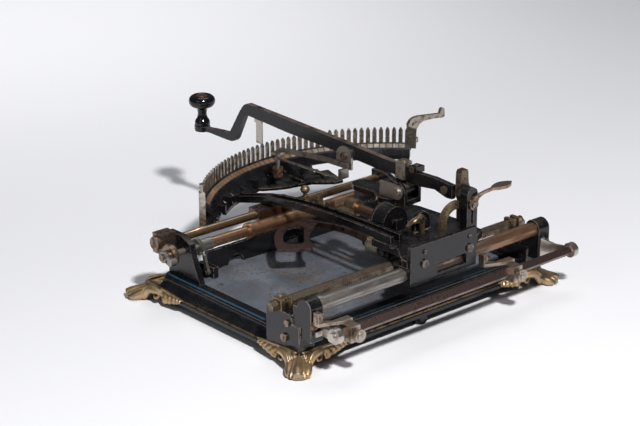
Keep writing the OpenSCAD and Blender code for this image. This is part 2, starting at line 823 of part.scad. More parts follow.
// main bar of the selector arm with the crank that drops to the knob
module arm_bar() {
    c = comb_r;
    k = knob_s;
    color([0.07, 0.065, 0.07]) centred() at_arm() difference() {
        union() {
            arm_plate(arm_t) polygon([
                [-22, 120], [-22, 133], [0, 133], [64, 138], [140, 143], [c + 7, 147.4], [c + 15.7, 148],
                [c + 20.5, 146.6], [c + 24, 143.4], [c + 29, 136.4], [c + 45, 109.4], [c + 47.6, 107],
                [c + 51.7, 106], [k - 20, 104.4], [k - 14, 103.6], [k + 10, 103.6], [k + 10, 98], [k - 15, 99],
                [c + 52, 97.5], [c + 43, 97.6], [c + 38.4, 99], [c + 35, 102.6], [c + 22, 130.6],
                [c + 19.6, 133.4], [c + 15.6, 134.6], [c + 7, 134], [156, 129], [94, 126], [20, 120]
            ]);
            arm_plate(arm_t) polygon([
                [-trun_s - 4, trun_z - 3], [-trun_s - 4, 121], [-4, 121], [-trun_s + 6, trun_z - 3]
            ]);
            rod_x(-8.8, 8.8, trun_s, trun_z, 7);
            rod_z(98, 103.6, 0, -knob_s, 9);
        }
        rod_x(-20, 20, trun_s, trun_z, 3 + run_fit);
        rod_z(90, 140, 0, -knob_s, 3 + run_fit);
    }
}

module tail_bar() {
    color([0.05, 0.045, 0.05]) centred() at_arm() difference() {
        arm_plate(6) polygon([
            [-22, 115], [-22, 129.5], [-60, 129.5], [-84, 127], [-84, 112],
            [-76, 112], [-60, 117], [-40, 115]
        ]);
        rod_x(-20, 20, 74, 120, 2.5 + run_fit);
    }
}

module clamp_block() {
    color([0.72, 0.7, 0.66]) centred() at_arm() {
        box(-6, 6, 8, 21, 133, 137);
        box(arm_t / 2, 6, 8, 21, 118, 133);
        rod_z(137, 138.6, 0, 15, 3.6);
    }
}

module stop_block() {
    color([0.08, 0.08, 0.085]) centred() at_arm() difference() {
        box(-6.5, 6.5, 27, 38, 129.5, 136);
        rod_z(133, 140, 0, 32.5, 2.6 + run_fit);
    }
}

// slotted screws of the tail, the stop block and the inking lever
module arm_screws() {
    color([0.7, 0.56, 0.42]) centred() at_arm() {
        rod_x(-3, 3, 74, 120, 2.5);
        head_x(3, 74, 120, 4.6, 2, 30);
        rod_z(133, 137.4, 0, 32.5, 2.6);
        head_x(6.5, 32.5, 132.8, 2.8, 1.6, 20);
        rod_x(arm_t / 2, arm_t / 2 + 3, -67, 124, 2.5);
        head_x(arm_t / 2 + 3, -67, 124, 4.4, 1.8, 70);
    }
}

module knob() {
    color([0.04, 0.04, 0.045]) centred() at_arm() translate([0, -knob_s, 0]) difference() {
        rotate_extrude() polygon([
            [0, 97], [3, 97], [3, 103.6], [6, 103.6], [8.2, 105.5], [8.8, 108], [8, 111], [6.2, 114], [5.4, 118],
            [5.4, 122], [6.4, 126], [9, 128], [12.6, 129], [14.8, 131], [knob_r, 134],
            [14.8, 137.2], [12.2, 139.8], [9.5, 140.6], [7.2, 140], [0, 139.6]
        ]);
        translate([0, 0, 139]) cylinder(h = 10, r = 6.9);
    }
}

module knob_inlay() {
    color([0.66, 0.42, 0.28]) centred() at_arm() translate([0, -knob_s, 0]) {
        cylinder_at(139, 1.2, 6.8);
        cylinder_at(140.2, 0.5, 5);
    }
}

module cylinder_at(z, h, r) {
    translate([0, 0, z]) cylinder(h = h, r = r);
}

module locating_blade() {
    s = comb_r;
    color([0.76, 0.74, 0.7]) centred() at_arm() difference() {
        union() {
            box(-1, 1, -s - 5, -s + 4.5, tip_z + 1.2, 134);
            box(1, 3.5, -s - 5, -s + 4.5, 129, 134);
        }
        arm_keepout();
    }
}

// space taken by the arm bar near the blade
module arm_keepout() {
    arm_plate(arm_t + 0.01) polygon([
        [64, 138], [212, 147.5], [221, 134.5], [212, 134], [156, 129], [94, 126]
    ]);
}

// inking lever bolted to the side of the arm, with its two discs
module ink_lever() {
    d = arm_t / 2;
    color([0.42, 0.4, 0.38]) centred() at_arm() {
        arm_plate(3, d + 1.5) difference() {
            union() {
                translate([56, 110]) square([22, 14]);
                translate([67, 124]) circle(r = 11);
            }
            translate([67, 124]) circle(r = 2.5 + run_fit);
        }
        arm_plate(3.4, d + 4.7) polygon([
            [58, 112], [58, 118], [100, 116.5], [150, 112.5], [166, 110], [166, 105], [150, 107.5], [100, 111.5]
        ]);
        box(d + 3, 19, -166, -156, 105, 108);
        rod_z(90, 105, 14, -161, 2);
        rod_y(-161, -62, 15, 101, 1.3);
        box(d, 16, -66, -62, 100, 111);
    }
}

module ink_discs() {
    color([0.66, 0.46, 0.36]) centred() at_arm() {
        rod_z(86, 90, 14, -161, 6);
        rod_z(79, 83, 14, -161, 5.4);
        rod_z(83, 86, 14, -161, 3);
    }
}

// ---------------------------------------------------------------- carriage fittings

module slotted_post() {
    color([0.1, 0.09, 0.1]) centred() difference() {
        union() {
            box(-78, -63, 107, 118, deck_top, 123);
            rod_y(107, 118, -70.5, 123, 7.5);
        }
        box(-72, -69.4, 100, 125, 90, 121);
    }
}

// spacing plunger, keyed in the slotted post
module space_plunger() {
    color([0.36, 0.27, 0.22]) centred() {
        box(-80, -69, 96.5, 104.6, 88, 113);
        slab_y(97, 104.4) polygon([
            [-80, 112], [-80, 127], [-78, 131], [-77.4, 143], [-75.6, 146], [-68.6, 146], [-66.6, 143],
            [-66, 118], [-69, 112]
        ]);
        rod_y(104.6, 116, -70.7, 101, 1.15);
    }
}

module spoon_lever() {
    x = -70.5;
    z = 113;
    color([0.5, 0.38, 0.28]) centred() difference() {
        union() {
            rod_y(118.4, 121, x, z, 6);
            slab_y(118.4, 121) polygon([
                [x + 4, z - 2], [x + 4, z + 3], [x, z + 8.4], [x - 8, z + 10.4], [x - 18, z + 11.6],
                [x - 30, z + 12.4], [x - 30, z + 9.2], [x - 14, z + 8], [x - 7, z + 5.4], [x - 4, z - 2]
            ]);
            slab_z(z + 9.2, z + 12.4) polygon([
                [x - 26, 118.4], [x - 33, 114.6], [x - 40, 112.8], [x - 46, 113.2], [x - 52, 116],
                [x - 56, 119.7], [x - 52, 123.4], [x - 46, 126.2], [x - 40, 126.6], [x - 33, 124.8],
                [x - 26, 121]
            ]);
        }
        rod_y(110, 130, x, z, 2 + run_fit);
    }
}

module spring_barrel() {
    color([0.07, 0.07, 0.075]) centred() difference() {
        union() {
            rod_y(42, 44, -15, 90, 17.4);
            rod_y(44, 60, -15, 90, 16.6);
            rod_y(60, 62, -15, 90, 17.4);
            rod_y(62, 66, -15, 90, 4);
            box(-21, -9, 66, 70, deck_top, 96);
        }
        rod_y(40, 64, -15, 90, 2.4);
    }
}

module drive_shaft() {
    color([0.62, 0.42, 0.32]) centred() {
        rod_y(-7, 42, -15, 90, 5.4);
    }
}

module shaft_bearing() {
    color([0.62, 0.5, 0.3]) centred() difference() {
        union() {
            box(-21, 4, -9, 5, 83, 91);
            rod_y(-9, 5, -15, 90, 9);
        }
        rod_y(-7, 60, -15, 90, 5.4 + run_fit);
        rod_y(-20, 60, -15, 90, 3);
    }
}

// pawl that reaches through the deck to the rack
module rack_pawl() {
    x = -26;
    z = 99;
    color([0.66, 0.54, 0.34]) centred() difference() {
        slab_y(86.4, 89.2) union() {
            translate([x, z]) circle(r = 5);
            polygon([
                [x - 1, z + 4.9], [x + 14, z + 2], [x + 20, z - 3], [x + 18, z - 5.5], [x + 12, z - 2], [x, z - 4]
            ]);
            polygon([
                [x - 4.9, z], [x + 1.5, z], [x - 1, rack_z0 + rack_h + 0.8], [x - 4.4, rack_z0 + rack_h + 0.8]
            ]);
        }
        rod_y(80, 100, x, z, 2 + run_fit);
    }
}

module hook_arm() {
    color([0.68, 0.5, 0.26]) centred() difference() {
        slab_y(100, 105) union() {
            difference() {
                translate([-60, 93]) circle(r = 21);
                translate([-60, 93]) circle(r = 13);
                translate([-100, 60]) square([40, 60]);
                translate([-100, 60]) square([80, 27]);
            }
            translate([-64, 106]) square([6, 8]);
            translate([-47, deck_top]) square([8, 6]);
        }
        rod_y(90, 110, -61, 110, 1.6);
    }
}

// small brass fittings standing on the beams
module beam_fittings() {
    color([0.6, 0.46, 0.3]) centred() {
        box(-10, 4, -74, -68, 81, 85);
        translate([-7, -71, 85]) rotate_extrude() polygon([
            [0, 0], [2.4, 0], [2.2, 3], [4.4, 5], [5.4, 7.4], [4.6, 10], [2.4, 11.6], [0, 12]
        ]);
        box(-4, 4, -44, -38, 83, 92);
        rod_z(92, 95, 0, -41, 3);
        box(-4, 4, -26, -20, 84, 94);
    }
}

// screws and small brass plates of the carriage
module carriage_screws() {
    color([0.66, 0.5, 0.3]) centred() {
        for (x = [block_l + 10, block_r - 19]) {
            head_y(x, plate_y, 78.5, 4.6, 2, 65);
            head_y(x, plate_y, 91, 2.4, 1.2, 15);
        }
        head_z(-6, -guide_y - 3, guide_z + 10, 3.4, 1.6, 20);
        head_z(28, -guide_y - 3, guide_z + 6, 3.4, 1.6, 50);
        head_y(-33, 84, 93, 5.4, 1.8, 60);
        rod_y(85.4, 89.5, -26, 99, 2);
        rod_y(89.5, 90.9, -26, 99, 3.2);
        rod_y(84, 85.4, -26, 99, 2.6);
        rod_y(118, 121.2, -70.5, 113, 2);
        head_y(-70.5, 121.2, 113, 4, 1.6, 35);
        box(-36, -20, 112, 122, deck_top, deck_top + 4);
        head_z(-28, 117, deck_top + 4, 3.6, 1.6, 30);
        head_z(6, 112, deck_top, 4, 1.8, 80);
        head_z(24, 100, deck_top, 4, 1.8, 10);
        head_x(-5, 54, 57, 3, 2, 50);
    }
}

// pointer arm with the eye that frames the printing place
module guide_loop() {
    eye = [
        [2, -74.6], [22, -74.6], [34, -69], [47, -59], [58, -46], [66, -34.5], [70.4, -26.5],
        [69.6, -22.6], [44, -4.6], [39.6, -4.4], [34, -11], [28.6, -22.6], [20.5, -33], [9, -43.6],
        [-4, -51.4], [-12, -54], [-12, -66]
    ];
    hole = [
        [13.6, -64.6], [22, -66.4], [31, -61], [41, -52], [50.4, -40.2], [53.8, -32.4], [52.6, -28.6],
        [41.4, -21.8], [37, -22.6], [24.3, -36.8], [9.6, -54], [9.6, -60]
    ];
    color([0.36, 0.26, 0.25]) centred() {
        slab_z(54, 57) difference() {
            union() {
                polygon(eye);
                translate([-14, -70]) square([20, 14]);
            }
            polygon(hole);
        }
        slab_x(-14, -10) polygon([
            [25.6, 63], [14, 65], [-5, 65], [-29, 63], [-46, 60], [-62, 57], [-70, 57], [-70, 54],
            [-56, 54], [-46, 54], [-29, 56.5], [-5, 58.5], [14, 58], [25.6, 55]
        ]);
        rod_y(18, 62, -14, 57, 5);
    }
}

module loop_ferrule() {
    color([0.72, 0.7, 0.64]) centred() difference() {
        union() {
            for (k = [0 : 7])
                rod_y(26 + 2.4 * k, 27.6 + 2.4 * k, -14, 57, 9);
            rod_y(26, 44.4, -14, 57, 8.4);
        }
        rod_y(0, 100, -14, 57, 5 + run_fit);
    }
}

module loop_collar() {
    color([0.12, 0.11, 0.12]) centred() difference() {
        union() {
            rod_y(45.4, 61.4, -14, 57, 9);
            box(-24, -9, 62, 72, 46, deck_z);
            rod_y(61.4, 62, -14, 57, 9);
        }
        rod_y(0, 70, -14, 57, 5 + run_fit);
    }
}

base_frame();
corner_feet();
bed_plate();
rail_posts();
frame_screws();
rear_rail();
rack_bar();
rack_clamps();
guide_rod();
rod_brackets();
rod_end_block();
cross_wall();
feed_roller();
feed_ratchet();
thumb_wheel();
feed_lever();
feed_click();
margin_bar();
margin_arms();
margin_stop_right();
margin_stop_left();
stop_screw_right();
stop_screw_left();
rear_slide();
carriage_deck();
bridge_beams();
front_slide();
index_casting();
casting_foot();
index_strip();
end_post();
adjusting_screw();
comb();
shift_horn();
turntable();
type_sector();
link_plate();
arm_bar();
tail_bar();
clamp_block();
stop_block();
arm_screws();
knob();
knob_inlay();
locating_blade();
ink_lever();
ink_discs();
slotted_post();
space_plunger();
spoon_lever();
spring_barrel();
drive_shaft();
shaft_bearing();
rack_pawl();
hook_arm();
beam_fittings();
carriage_screws();
guide_loop();
loop_ferrule();
loop_collar();
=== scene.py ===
import json
from math import atan2, cos, degrees, pi, radians, sin, sqrt

import bmesh
import bpy
from mathutils import Euler, Matrix, Vector


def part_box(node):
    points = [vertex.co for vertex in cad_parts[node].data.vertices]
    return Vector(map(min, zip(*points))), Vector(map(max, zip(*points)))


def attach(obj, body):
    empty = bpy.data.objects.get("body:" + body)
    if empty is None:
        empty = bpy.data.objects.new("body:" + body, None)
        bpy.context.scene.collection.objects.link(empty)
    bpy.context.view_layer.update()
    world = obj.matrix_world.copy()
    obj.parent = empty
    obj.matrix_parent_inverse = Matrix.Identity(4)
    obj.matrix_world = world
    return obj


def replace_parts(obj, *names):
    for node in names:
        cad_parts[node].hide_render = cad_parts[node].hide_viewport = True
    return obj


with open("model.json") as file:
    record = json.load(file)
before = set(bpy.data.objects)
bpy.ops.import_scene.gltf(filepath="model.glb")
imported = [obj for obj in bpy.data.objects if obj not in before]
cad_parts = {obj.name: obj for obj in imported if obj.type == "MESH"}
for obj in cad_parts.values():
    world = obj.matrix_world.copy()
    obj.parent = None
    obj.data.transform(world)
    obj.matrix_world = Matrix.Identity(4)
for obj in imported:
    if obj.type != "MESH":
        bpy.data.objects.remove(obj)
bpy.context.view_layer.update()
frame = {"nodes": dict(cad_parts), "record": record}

MM = 0.001
frame_low, frame_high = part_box("base_frame")
MID = (frame_low + frame_high) / 2
HALF_X = (frame_high.x - frame_low.x) / 2
HALF_Y = (frame_high.y - frame_low.y) / 2
TOP_Z = 28 * MM                             # the top of the frame
CORNER = 22                                 # mm, the radius of the frame's corners
PIVOT = (MID.x - 62 * MM, MID.y + 9 * MM)   # the upright axis of the arm and of the comb
COMB_SWEEP = 96                             # degrees, from end to end of the comb
PITCH = COMB_SWEEP / 45                     # degrees, from one gap of the comb to the next


# ---------------------------------------------------------------- node trees

class Flow:
    """The value of one socket, so that the maths of a node tree reads as arithmetic."""

    def __init__(self, nodes, socket):
        self.nodes = nodes
        self.socket = socket

    def maths(self, operation, *others):
        """A maths node on this value and the others."""
        return self.nodes.maths(operation, self, *others)

    def __add__(self, other):
        return self.maths("ADD", other)

    def __sub__(self, other):
        return self.maths("SUBTRACT", other)

    def __rsub__(self, other):
        return self.nodes.maths("SUBTRACT", other, self)

    def __mul__(self, other):
        return self.maths("MULTIPLY", other)

    def __truediv__(self, other):
        return self.maths("DIVIDE", other)

    def __pow__(self, other):
        return self.maths("POWER", other)

    def __abs__(self):
        return self.maths("ABSOLUTE")

    __radd__ = __add__
    __rmul__ = __mul__

    def ramp(self, low, high):
        """0 up to low and 1 from high, with a smooth step between; high may be the lower."""
        return self.nodes.node(
            "ShaderNodeMapRange", {"interpolation_type": "SMOOTHSTEP"},
            {"Value": self, "From Min": low, "From Max": high})

    def line(self, middle, half, soft):
        """1 within half of middle, falling to 0 over soft."""
        return abs(self - middle).ramp(half + soft, half)


class Nodes:
    """A node tree, whose nodes all come from its node method."""

    def __init__(self, tree):
        self.tree = tree

    def node(self, kind, settings=None, values=(), out=0):
        """A new node with those settings and input values, as the flow of its output."""
        made = self.tree.nodes.new(kind)
        for name, value in (settings or {}).items():
            setattr(made, name, value)
        for key, value in (values.items() if isinstance(values, dict) else enumerate(values)):
            if isinstance(value, Flow):
                self.tree.links.new(value.socket, made.inputs[key])
            else:
                made.inputs[key].default_value = value
        return Flow(self, made.outputs[out]) if len(made.outputs) else None

    def maths(self, operation, *values):
        """A maths node on the values."""
        return self.node("ShaderNodeMath", {"operation": operation}, values)


# the sockets of a mix node that mixes colours
FACTOR, COLOUR_A, COLOUR_B, MIXED = 0, 6, 7, 2


def opaque(colour):
    """What a colour socket takes: a flow as it is, or three numbers and full alpha."""
    return colour if isinstance(colour, Flow) else (*colour, 1.0)


class Finish(Nodes):
    """One material."""

    def __init__(self, name):
        self.material = bpy.data.materials.new(name)
        self.material.use_nodes = True
        super().__init__(self.material.node_tree)
        self.tree.nodes.clear()
        self.place = self.node("ShaderNodeTexCoord", out="Object")
        self.edge = self.node("ShaderNodeAttribute", {"attribute_name": "edge"}, out="Fac")

    def axis(self, name):
        """The place along the axis of that name, in metres."""
        return self.node("ShaderNodeSeparateXYZ", {}, (self.place,), out=name)

    def moved(self, size, along=(1, 1, 1), seed=0):
        """The place in steps of that size, stretched along each axis and moved by the seed."""
        return self.node("ShaderNodeMapping", {}, {
            "Vector": self.place, "Location": (seed * 3.7, seed * 1.9, seed * 5.3),
            "Scale": tuple(a / size for a in along)})

    def clouds(self, size, detail=4, rough=0.55, along=(1, 1, 1), seed=0):
        """Soft noise about 0.5, in patches of that size."""
        return self.node("ShaderNodeTexNoise", {}, {
            "Vector": self.moved(size, along, seed), "Scale": 1.0, "Detail": detail,
            "Roughness": rough})

    def pits(self, size, width, seed=0):
        """1 in small round pits, one in some of the cells of that size."""
        spot = self.node("ShaderNodeTexVoronoi", {}, {
            "Vector": self.moved(size, seed=seed), "Scale": 1.0, "Randomness": 1.0})
        return spot.ramp(width, width * 0.4)

    def crevice(self, reach):
        """1 on open surfaces and 0 deep in a corner."""
        return self.node("ShaderNodeAmbientOcclusion", {"samples": 5, "only_local": True},
                         {"Distance": reach}, out="AO")

    def upward(self, low, high):
        """How much the surface faces up."""
        normal = self.node("ShaderNodeNewGeometry", out="Normal")
        return self.node("ShaderNodeSeparateXYZ", {}, (normal,), out="Z").ramp(low, high)

    def mix(self, share, first, second):
        """The first colour at share 0 and the second at share 1."""
        return self.node("ShaderNodeMix", {"data_type": "RGBA"}, {
            FACTOR: share, COLOUR_A: opaque(first), COLOUR_B: opaque(second)}, out=MIXED)

    def close(self, colour, roughness, metallic=0.0, height=None, depth=None):
        """The material of that surface, whose height 1 stands depth above height 0."""
        values = {"Base Color": opaque(colour), "Roughness": roughness, "Metallic": metallic}
        if height is not None:
            values["Normal"] = self.node(
                "ShaderNodeBump", {}, {"Strength": 1.0, "Distance": depth, "Height": height})
        shader = self.node("ShaderNodeBsdfPrincipled", {}, values)
        self.node("ShaderNodeOutputMaterial", {}, {"Surface": shader})
        return self.material


# ---------------------------------------------------------------- finishes

BLACK = (0.0040, 0.0042, 0.0055)
DUST = (0.042, 0.037, 0.034)
IRON = (0.215, 0.170, 0.140)
GRIT = (0.105, 0.085, 0.070)
RUBBED_IRON_AND_SHEEN = (0.150, 0.105, 0.090)
LINE_BLUE = (0.020, 0.066, 0.112)
LINE_GILT = (0.30, 0.20, 0.10)


def stove_black(name, dust=0.35, wear=0.5, gloss=0.24, top_wear_and_sheen=0.0):
    """Black stove enamel with dust on its upper faces, chipped to brown iron on its edges, and
    where asked lighter on its upper faces: rubbed iron with a painted sheen.
    """
    f = Finish(name)
    film = (f.clouds(16 * MM, 5) * 0.65 + f.clouds(2.2 * MM, 3, 0.7, seed=1) * 0.35)
    film = film.ramp(0.38, 0.72) * dust * (f.upward(0.2, 0.9) * 0.75 + 0.25)
    chips = (f.edge * 0.27 + f.clouds(4.5 * MM, 5, 0.65, seed=2)).ramp(0.70, 0.76) * wear
    specks = f.clouds(1.3 * MM, 3, 0.7, seed=8).ramp(0.60, 0.70) * dust * 0.8
    colour = f.mix(film, BLACK, DUST)
    colour = f.mix(specks, colour, GRIT)
    colour = f.mix(chips, colour, IRON)
    if top_wear_and_sheen:
        # upper faces lightened towards rubbed iron: partly wear, partly a painted sheen
        rubbed = f.clouds(12 * MM, 5, 0.65, seed=6).ramp(0.30, 0.62)
        colour = f.mix(rubbed * f.upward(0.4, 0.8) * top_wear_and_sheen, colour, RUBBED_IRON_AND_SHEEN)
    waves = f.clouds(11 * MM, 2, seed=9) * 2.2 + f.clouds(1.1 * MM, 2, seed=4) * 0.5
    return f.close(colour, gloss + film * 0.9 + specks * 0.4 + chips * 0.25, chips * 0.6,
                   waves + specks - chips, 0.07 * MM)


def painted_frame(name):
    """The frame's black enamel, with a blue line round its top and a gilt line on its skirt."""
    f = Finish(name)
    # x and y start from the middle of the corner's curve; out is 0 on the frame's outline
    x = abs(f.axis("X") - MID.x) - (HALF_X - CORNER * MM)
    y = abs(f.axis("Y") - MID.y) - (HALF_Y - CORNER * MM)
    z = f.axis("Z")
    corner = (x.maths("MAXIMUM", 0.0) ** 2 + y.maths("MAXIMUM", 0.0) ** 2) ** 0.5
    out = corner + x.maths("MAXIMUM", y).maths("MINIMUM", 0.0) - CORNER * MM
    up = z.ramp(TOP_Z - 1.2 * MM, TOP_Z - 0.6 * MM)
    rubbed = f.clouds(6 * MM, 4, 0.6, seed=7).ramp(0.30, 0.42)
    blue = out.line(middle=-15.4 * MM, half=1.35 * MM, soft=0.4 * MM) * up
    blue = blue * (rubbed * 0.5 + 0.5)
    gilt = z.line(middle=14.2 * MM, half=0.45 * MM, soft=0.3 * MM)
    gilt = gilt * out.ramp(-3.5 * MM, -2.5 * MM)
    gilt = gilt * (f.clouds(9 * MM, 5, 0.65, seed=11).ramp(0.40, 0.58) * 0.8 + 0.1)
    film = (f.clouds(22 * MM, 5) * 0.6 + f.clouds(2.6 * MM, 3, 0.7, seed=1) * 0.4)
    film = film.ramp(0.42, 0.75) * 0.20
    chips = (f.edge * 0.20 + f.clouds(5 * MM, 5, 0.65, seed=2)).ramp(0.72, 0.77) * 0.6
    colour = f.mix(film, BLACK, DUST)
    colour = f.mix(blue, colour, LINE_BLUE)
    colour = f.mix(gilt, colour, LINE_GILT)
    colour = f.mix(chips, colour, IRON)
    return f.close(colour, 0.20 + film + chips * 0.3, gilt * 0.8 + chips * 0.4,
                   f.clouds(1.4 * MM, 2, seed=4) * 0.5 - chips, 0.05 * MM)


def old_gilt(name):
    """Gilding rubbed on the high places and dark brown in the hollows: grime there, with painted
    shade from an occlusion mask.
    """
    f = Finish(name)
    open_face = f.crevice(7 * MM)
    # the hollows darkened by the occlusion mask: partly grime, partly painted shade
    grime_and_shade = (open_face * 1.1 + f.clouds(5 * MM, 5, 0.6) * 0.55).ramp(1.22, 0.86)
    low = f.axis("Z").ramp(11 * MM, 4 * MM)
    rubbed = (f.clouds(9 * MM, 4, 0.6, seed=5) + open_face * 0.12 + low * 0.10).ramp(0.62, 0.74)
    yellow, deep = (0.56, 0.400, 0.215), (0.40, 0.270, 0.135)
    bared, dirt_and_shade = (0.36, 0.290, 0.225), (0.030, 0.021, 0.015)
    colour = f.mix(f.clouds(12 * MM, 3, seed=2).ramp(0.35, 0.7), yellow, deep)
    colour = f.mix(rubbed * 0.8, colour, bared)
    colour = f.mix(grime_and_shade, colour, dirt_and_shade)
    return f.close(colour, 0.34 + grime_and_shade * 0.4 + f.clouds(2 * MM, 3, seed=3) * 0.14,
                   0.92 - grime_and_shade * 0.7, f.clouds(1.6 * MM, 4, 0.6) * 0.7, 0.14 * MM)


def bed_steel(name):
    """Blue-grey bed plate, pitted and spotted with rust."""
    f = Finish(name)
    broad = f.clouds(38 * MM, 5, 0.6).ramp(0.36, 0.66)
    fine = f.clouds(2.4 * MM, 5, 0.7, seed=3)
    pitted = f.pits(6.5 * MM, 0.26, seed=1) * f.clouds(24 * MM, 3, seed=6).ramp(0.44, 0.56)
    rust = f.clouds(5 * MM, 7, 0.75, seed=9) + f.clouds(46 * MM, 3, seed=8) * 0.5
    rust = rust.ramp(0.76, 0.84)
    scratch = f.clouds(3 * MM, 3, 0.6, (1.0, 0.06, 1.0), seed=12).ramp(0.60, 0.68)
    dark, pale, darkest = (0.085, 0.100, 0.126), (0.140, 0.157, 0.184), (0.055, 0.060, 0.072)
    bright, brown, black = (0.230, 0.240, 0.250), (0.085, 0.055, 0.038), (0.026, 0.022, 0.022)
    colour = f.mix(broad, dark, pale)
    colour = f.mix(fine.ramp(0.45, 0.75) * 0.5, colour, darkest)
    colour = f.mix(scratch * 0.3, colour, bright)
    colour = f.mix(rust * 0.7, colour, brown)
    colour = f.mix(pitted * 0.8, colour, black)
    return f.close(colour, 0.50 + fine * 0.25, 0.24 - rust * 0.2,
                   fine * 0.6 - pitted * 1.4 - rust * 0.3, 0.16 * MM)


def worn_rail(name):
    """Round steel bar, grey where it is wiped and coppery with rust towards the far end."""
    f = Finish(name)
    along = f.axis("X") - MID.x
    far = (along * -3.2 + f.clouds(40 * MM, 4, 0.6, (0.5, 1, 1)) * 0.9).ramp(0.30, 0.85)
    stain = f.clouds(9 * MM, 6, 0.7, (0.22, 1, 1), seed=1).ramp(0.44, 0.62)
    scratch = f.clouds(0.9 * MM, 2, 0.5, (0.05, 1, 1), seed=2)
    steel = f.mix(stain * 0.8, (0.33, 0.310, 0.285), (0.095, 0.076, 0.064))
    bronze = f.mix(stain, (0.40, 0.235, 0.145), (0.165, 0.084, 0.052))
    colour = f.mix(far, steel, bronze)
    return f.close(colour, 0.27 + stain * 0.22 + scratch * 0.10, 0.95 - stain * 0.25,
                   scratch * 0.4 - stain * 0.5, 0.05 * MM)


def metal(name, bright, dull, seed, tarnish=0.5, size=8, polish=0.28, edge_shine=0.6, spots=0.4):
    """Bare metal: bright where it is rubbed, dull in patches of size mm, with dark specks, and a
    painted highlight on its eased edges.
    """
    f = Finish(name)
    patch = f.clouds(size * MM, 6, 0.62, seed=seed)
    dulled = (patch - f.edge * 0.25).ramp(0.72 - tarnish * 0.5, 0.86 - tarnish * 0.42)
    specks = f.clouds(1.7 * MM, 4, 0.7, seed=seed + 1).ramp(0.60, 0.70) * spots
    fine = f.clouds(0.6 * MM, 2, 0.5, seed=seed + 2)
    colour = f.mix(dulled, bright, dull)
    colour = f.mix(specks, colour, tuple(c * 0.22 for c in dull))
    # painted highlight: the eased edges lightened in patches, as strong as edge_shine
    lit = f.edge * f.clouds(3 * MM, 3, seed=seed + 3).ramp(0.35, 0.6) * edge_shine
    colour = f.mix(lit, colour, tuple(min(0.85, c * 1.35) for c in bright))
    return f.close(colour, polish + dulled * 0.20 + specks * 0.3 + fine * 0.06,
                   1.0 - specks * 0.5, fine * 0.3 - specks * 0.8 + patch * 0.4, 0.05 * MM)


def index_cells(name):
    """The cells under the comb: brown at the operator's right and paler towards the other end."""
    f = Finish(name)
    x = f.axis("X") - PIVOT[0]
    y = PIVOT[1] - f.axis("Y")
    turn = x.maths("ARCTAN2", y) * (180 / pi)
    cell = ((turn + COMB_SWEEP / 2) / PITCH).maths("FLOOR")
    tone = f.node("ShaderNodeTexWhiteNoise", {"noise_dimensions": "1D"}, {"W": cell}, out="Value")
    worn = f.clouds(5 * MM, 5, 0.65).ramp(0.42, 0.66)
    brown = f.mix(tone, (0.40, 0.245, 0.145), (0.270, 0.170, 0.105))
    pale = f.mix(tone, (0.44, 0.400, 0.350), (0.300, 0.265, 0.225))
    colour = f.mix((turn + tone * 9.0).ramp(-2.0, -16.0), brown, pale)
    colour = f.mix(worn * 0.7, colour, (0.105, 0.072, 0.052))
    return f.close(colour, 0.40 + worn * 0.25, 0.8 - worn * 0.4, 0.0 - worn, 0.08 * MM)


def black_rubber(name):
    """Black rubber with a grey bloom."""
    f = Finish(name)
    bloom = f.clouds(9 * MM, 5, 0.6).ramp(0.4, 0.7)
    colour = f.mix(bloom, (0.018, 0.016, 0.016), (0.060, 0.052, 0.048))
    return f.close(colour, 0.62 + bloom * 0.2, 0.0, f.clouds(0.8 * MM, 3), 0.08 * MM)


NICKEL, NICKEL_DULL = (0.52, 0.475, 0.420), (0.260, 0.205, 0.160)
BRASS, BRASS_DULL = (0.360, 0.275, 0.175), (0.150, 0.106, 0.070)
COPPER, COPPER_DULL = (0.400, 0.240, 0.165), (0.150, 0.086, 0.058)
BRONZE, BRONZE_DULL = (0.290, 0.215, 0.160), (0.110, 0.074, 0.054)
BROWN, BROWN_DULL = (0.190, 0.130, 0.115), (0.066, 0.042, 0.037)

